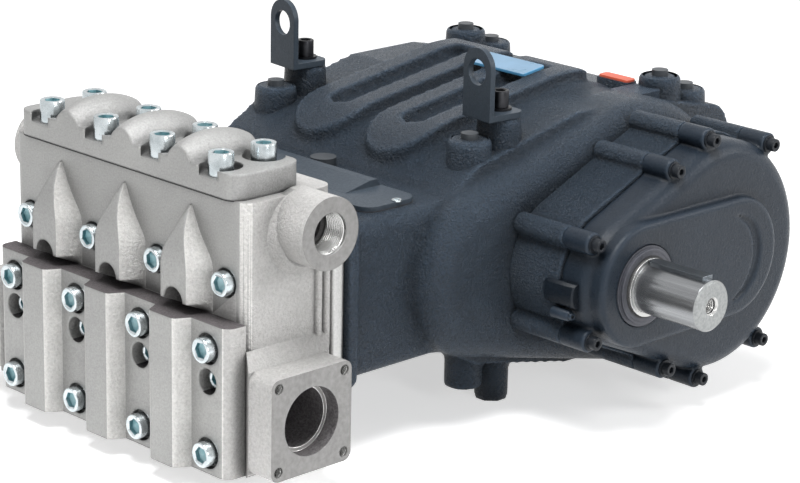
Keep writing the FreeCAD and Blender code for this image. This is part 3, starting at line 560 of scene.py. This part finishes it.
HEAD_SCREW = {"head": 24, "height": 16, "socket": 14, "depth": 5}
TOP_SCREW = {"head": 24, "height": 22, "socket": 14, "depth": 5}
SERVICE_PLUG = {"head": 20, "height": 9, "socket": 10, "depth": 5}
COVER_SCREW = {"head": 13, "height": 8, "socket": 6, "depth": 4}
BRACKET_SCREW = {"head": 17.6, "height": 17, "socket": 10, "depth": 7}
LITTLE_SCREW = {"head": 7, "height": 3, "socket": 3.4, "depth": 1.8}

head = Piece("head_and_cover_screws", slot="ground_steel")
for x in TOP_COLUMNS:
    for y in TOP_ROWS:
        cap_screw(head, (x, y, TOP_SEAT), UP, **TOP_SCREW, spin=any_turn())
for x in COLUMNS:
    cap_screw(head, (x, HEAD_FRONT + COUNTERBORE_DEPTH, HEAD_SCREW_Z), FRONT,
              **HEAD_SCREW, spin=any_turn())
    for z in COVER_SCREW_ROWS:
        cap_screw(head, (x, FRONT_FACE + COUNTERBORE_DEPTH, z), FRONT,
                  **HEAD_SCREW, spin=any_turn())
    cap_screw(head, (x, FRONT_FACE + SERVICE_HOLE_DEPTH, SERVICE_HOLE_Z), FRONT,
              **SERVICE_PLUG, spin=any_turn())
head.build(ZINC, SOCKET)

# Gearbox cover: six screws round the crank's axis and two round the input shaft's, on washers
WASHER_SEAT_X, WASHER = 297, 1.6
gearbox_screws = Piece("gearbox_screws", slot="painted_casting")
for middle_y, radius, angles in ((CRANK_Y, 125, (55, 100, 126, -55, -100, -126)),
                                 (SHAFT_Y, 74, (139, -139))):
    for degrees in angles:
        turn = math.radians(degrees)
        y, z = middle_y + radius * math.cos(turn), CRANK_Z + radius * math.sin(turn)
        gearbox_screws.lathe(facing((WASHER_SEAT_X, y, z), RIGHT),
                             [(0, 8.4), (WASHER, 8.4), (WASHER, 6.4)], 32)
        cap_screw(gearbox_screws, (WASHER_SEAT_X + WASHER, y, z), RIGHT,
                  **COVER_SCREW, spin=any_turn(), count=36)
gearbox_screws.build(SCREW_PAINT, SCREW_PAINT)

# Small raised boss on the side of the gearbox, with a little screw below it. Its section is
# given by (y, z) points, and its length by (x, shift towards the gearbox) stations.
BOSS_SECTION = [(-156, 138), (-162.5, 138.4), (-166, 141), (-167.6, 146), (-168, 150.5),
                (-167.6, 155), (-166, 160), (-162.5, 162.6), (-156, 163)]
BOSS_STATIONS = [(240, 9), (252, 1), (256, 0), (286.6, 0), (288, 1.4)]
STUD_X, STUD_LENGTH, STUD_Y, STUD_Z = 262, 21.5, -163.5, 131
side_boss = Piece("gearbox_side_boss", slot="painted_casting")
side_boss.rings([[(x, y + shift, z) for y, z in BOSS_SECTION] for x, shift in BOSS_STATIONS],
                close_end=True)
side_boss.lathe(facing((STUD_X, STUD_Y, STUD_Z), RIGHT),
                [(0, 6), (20, 5.4), (STUD_LENGTH, 4.4)], 28, close_end=True)
cap_screw(side_boss, (STUD_X + STUD_LENGTH - 0.1, STUD_Y, STUD_Z), RIGHT, **LITTLE_SCREW, count=24)
side_boss.build(PAINT_COVER, SCREW_PAINT)

# Lifting brackets: one screw each, on a washer
BRACKET_SEAT_Z, BRACKET_WASHER = 299, 2.4
bracket_screws = Piece("bracket_screws", slot="painted_casting")
for side in SIDES:
    x, y = side * BOSS_X, -BOSS_Y
    bracket_screws.lathe(facing((x, y, BRACKET_SEAT_Z), UP),
                         [(0, 12), (BRACKET_WASHER, 12), (BRACKET_WASHER, 8.6)], 40)
    cap_screw(bracket_screws, (x, y, BRACKET_SEAT_Z + BRACKET_WASHER), UP, **BRACKET_SCREW)
bracket_screws.build(BLACKENED, BLACKENED)

# Deck cover: two small round-headed screws with a round recess
deck_screws = Piece("cover_screws", slot="ground_steel")
for x in (-153.0, 153.0):
    deck_screws.lathe(facing((x, -270, 236.5), UP),
                      [(0, 5.2), (1.1, 5.2), (1.5, 4.6), (1.5, 2.6), (0.4, 2.6), (0.4, 0.2)],
                      28, close_end=True)
deck_screws.build(ZINC)

# Rear cover: two rows of four screws; bearing cover on the left end: a circle of eight
rear_screws = Piece("rear_screws", slot="painted_casting")
rear_places = [((x, 240, z), REAR)
               for x in (-112, -37, 37, 112) for z in (CRANK_Z - 41, CRANK_Z + 41)]
for n in range(8):
    turn = math.radians(22.5 + 45 * n)
    rear_places.append(((-183, CRANK_Y + 79 * math.cos(turn), CRANK_Z + 79 * math.sin(turn)), LEFT))
for place, direction in rear_places:
    cap_screw(rear_screws, place, direction, **COVER_SCREW, spin=any_turn(), count=32)
rear_screws.build(PAINT_CRISP, PAINT_CRISP)


# Threads -----------------------------------------------------------------
# G 1-1/4 in the outlets, M12 in the suction flanges and M16 in the shaft's end. The left
# flange's holes are a little wider in the CAD.
G_THREAD = {"radius": 19.75, "depth": 26, "pitch": 2.31, "height": 1.15, "count": 56}
M12_THREAD = {"depth": 18, "pitch": 1.75, "height": 0.55, "count": 24}
M12_RADIUS = {-1: 5.27, 1: 5.07}
M16_THREAD = {"radius": 6.97, "depth": 28, "pitch": 2.0, "height": 0.8, "count": 32}
threads = Piece("port_threads", slot="ground_steel")
for side in SIDES:
    direction = (side, 0, 0)
    thread(threads, facing((side * (OUTLET[0] - 1.2), OUTLET[1], OUTLET[2]), direction), **G_THREAD)
    for u in (-FLANGE_HOLE, FLANGE_HOLE):
        for v in (-FLANGE_HOLE, FLANGE_HOLE):
            place = (side * (SUCTION[0] - 0.8), SUCTION[1] + u, SUCTION[2] + v)
            thread(threads, facing(place, direction), M12_RADIUS[side], **M12_THREAD)
threads.build(COLLAR, THREAD_PAINTED_SHADE)
shaft_thread = Piece("shaft_centre_thread", "input", "ground_steel")
thread(shaft_thread, facing((SHAFT_END_X - SHAFT_CHAMFER - 0.4, SHAFT_Y, CRANK_Z), RIGHT),
       **M16_THREAD)
# Its lower sides and roots take the dark seal colour as painted shade.
shaft_thread.build(COLLAR, SEAL_AND_THREAD_SHADE)


# Gaskets, plates, skirts and seal ----------------------------------------
# Dark strips at the joints under the top valve cover and under the deck cover: painted shadow lines
# under the covers' edges.
shadow_lines = Piece("joint_shadow_lines", slot="plug_plastic")
for outline, heights in (((-160.4, -479.4, 160.4, -395.6, 16.4), (274.5, 275.3)),
                         ((-156.9, -311.9, 156.9, -242.1, 16.9), (231.3, 232.2))):
    shadow_lines.rings([[(x, y, z) for x, y in rounded_rectangle(*outline)] for z in heights],
                  close_start=True, close_end=True)
shadow_lines.build(RUBBER_AND_JOINT_SHADOW)

# Plain plates on the crank chamber. The blue one follows the dome's slope.
SLOPE, SLOPE_Y, SLOPE_Z = 0.132, -13.5, 300.9
blue_plate = Piece("blank_blue_plate", slot="plug_plastic")
slab(blue_plate, [(x, y, SLOPE_Z + SLOPE * (y - SLOPE_Y))
                  for x, y in rounded_rectangle(-10, -12, 71, 21, 4)],
     (0, -0.131, 0.991), 2.8, mark_top=1)
blue_plate.build(BLUE, PALE_BLUE)
pads = Piece("rear_pads", slot="painted_casting")
for outline, foot, thickness in (((122, 62, 158, 104, 5), 270, 16.4),
                                 ((76, 93, 120, 110, 4), 268, 19.0)):
    slab(pads, [(x, y, foot) for x, y in rounded_rectangle(*outline)], UP, thickness)
pads.build(PAINT)
orange_plate = Piece("blank_orange_plate", slot="plug_plastic")
slab(orange_plate, [(x, y, 287.0) for x, y in rounded_rectangle(78, 94.5, 119, 109, 4)], UP, 2.4)
orange_plate.build(ORANGE)

# Flared skirts of the upright bosses: height below the boss's top, and radius
SKIRT = [(-64, 37), (-52, 29), (-38, 24.6), (-24, 22.6), (-8, 21.8), (-3, 21.4), (-0.6, 20.0),
         (0.2, 18.4)]
skirts = Piece("boss_skirts", slot="painted_casting")
for side in SIDES:
    for y, top in ((-BOSS_Y, 293.0), (-OUTER_Y, 276.0), (BOSS_Y, 296.0), (OUTER_Y, 276.0)):
        skirts.lathe(facing((side * BOSS_X, y, top), UP), SKIRT, 56)
skirts.build(PAINT)

# Seal rings round the input shaft: the metal rim and the lip
SEAL_RIM = [(3.0, 37.2), (3.4, 36.6), (3.4, 34.6), (3.0, 34.0)]
SEAL_LIP = [(3.0, 33.6), (2.6, 33.4), (2.6, 31.4), (3.2, 31.0), (3.2, 29.6), (1.0, 29.4)]
seal = Piece("seal_lips", slot="seal_metal")
for mark, profile in enumerate((SEAL_RIM, SEAL_LIP)):
    seal.lathe(facing((COVER_FACE_X, SHAFT_Y, CRANK_Z), RIGHT), profile, 72, mark=mark)
seal.build(SEAL_AND_THREAD_SHADE, RUBBER_AND_JOINT_SHADOW)


# Camera: solved from the photograph, 800 pixels wide ------------------------
PHOTO_WIDTH, FOCAL_PIXELS, SENSOR_MM = 800, 2773.55, 36
AZ, EL, ROLL = math.radians(45.45), math.radians(17.09), math.radians(1.19)
CAMERA_PLACE = (1.9498, -2.0334, 0.9702)
back = Vector((math.sin(AZ) * math.cos(EL), -math.cos(AZ) * math.cos(EL), math.sin(EL)))
right = Vector((math.cos(AZ), math.sin(AZ), 0))
up = back.cross(right)
camera = bpy.data.objects.new("camera", bpy.data.cameras.new("camera"))
place_in_scene(camera)
camera.matrix_world = Matrix((
    *zip(right * math.cos(ROLL) + up * math.sin(ROLL),
         up * math.cos(ROLL) - right * math.sin(ROLL),
         back,
         CAMERA_PLACE),
    (0, 0, 0, 1)))
camera.data.sensor_width = SENSOR_MM
camera.data.lens = FOCAL_PIXELS / PHOTO_WIDTH * SENSOR_MM
camera.data.clip_start = 0.05
camera.data.clip_end = 30
bpy.context.scene.camera = camera


# Floor, world and lamps --------------------------------------------------
def seen_rays(tree):
    # Gives 1 for camera, glossy and transmission rays, and 0 for the rest.
    path = tree.nodes.new("ShaderNodeLightPath")
    flag = path.outputs["Is Camera Ray"]
    for kind in ("Is Transmission Ray", "Is Glossy Ray"):
        either = tree.nodes.new("ShaderNodeMath")
        either.operation = "MAXIMUM"
        tree.links.new(flag, either.inputs[0])
        tree.links.new(path.outputs[kind], either.inputs[1])
        flag = either.outputs[0]
    return either


FLOOR_HALF, FLOOR_Z, FLOOR_LIFT = 6, -0.0006, 0.58
floor_mesh = bpy.data.meshes.new("floor")
floor_mesh.from_pydata([(x * FLOOR_HALF, y * FLOOR_HALF, FLOOR_Z)
                        for x, y in ((-1, -1), (1, -1), (1, 1), (-1, 1))], [], [(0, 1, 2, 3)])
floor = bpy.data.objects.new("floor", floor_mesh)
place_in_scene(floor)
shade = Shade("floor_white")
shade.set(Roughness=0.9, Emission_Color=(*WHITE, 1))
shade.colour(shade.ramp(shade.noise(3.0), "Fac", (0.2, grey(0.90)), (0.8, grey(0.93))))
# Seen directly, the floor glows a little, so that it is white away from the shadow.
lift = shade.span(seen_rays(shade.tree), "Value", 0.0, 1.0, 0.0, FLOOR_LIFT)
shade.link(lift, "Result", shade.bsdf, "Emission Strength")
floor_mesh.materials.append(shade.material)

# The world lights the scene from a pale sky, and shows plain white to the seen rays.
world = bpy.data.worlds.new("studio")
bpy.context.scene.world = world
world.use_nodes = True
tree = world.node_tree
tree.nodes.clear()
output = tree.nodes.new("ShaderNodeOutputWorld")
sky = tree.nodes.new("ShaderNodeBackground")
coords = tree.nodes.new("ShaderNodeTexCoord")
split = tree.nodes.new("ShaderNodeSeparateXYZ")
tree.links.new(coords.outputs["Generated"], split.inputs[0])
height = tree.nodes.new("ShaderNodeValToRGB")
for stop, position, colour in zip(height.color_ramp.elements, (0.35, 0.95),
                                  ((0.55, 0.57, 0.60), WHITE)):
    stop.position = position
    stop.color = (*colour, 1)
scaled = tree.nodes.new("ShaderNodeMapRange")
scaled.inputs["From Min"].default_value = -1.0
tree.links.new(split.outputs["Z"], scaled.inputs["Value"])
tree.links.new(scaled.outputs["Result"], height.inputs["Fac"])
tree.links.new(height.outputs["Color"], sky.inputs["Color"])
sky.inputs["Strength"].default_value = 0.15
plain = tree.nodes.new("ShaderNodeBackground")
plain.inputs["Color"].default_value = (*WHITE, 1)
plain.inputs["Strength"].default_value = 1.0
mix = tree.nodes.new("ShaderNodeMixShader")
tree.links.new(seen_rays(tree).outputs[0], mix.inputs[0])
tree.links.new(sky.outputs[0], mix.inputs[1])
tree.links.new(plain.outputs[0], mix.inputs[2])
tree.links.new(mix.outputs[0], output.inputs["Surface"])

# Square lamps: name, place, target, width in metres and power in watts
for name, place, target, width, power in (
        ("top_soft", (0.5, -0.7, 2.5), (0, -0.1, 0.2), 1.1, 68),
        ("right_soft", (2.2, 2.0, 1.5), (0, 0, 0.15), 1.0, 34),
        ("front_soft", (3.3, -0.9, 1.3), (0, -0.2, 0.15), 0.8, 20)):
    data = bpy.data.lights.new(name, "AREA")
    data.shape = "RECTANGLE"
    data.size = data.size_y = width
    data.energy = power
    lamp = bpy.data.objects.new(name, data)
    lamp.location = place
    lamp.rotation_mode = "QUATERNION"
    lamp.rotation_quaternion = (Vector(target) - Vector(place)).to_track_quat("-Z", "Y")
    place_in_scene(lamp)

bpy.context.scene.view_settings.view_transform = "Standard"
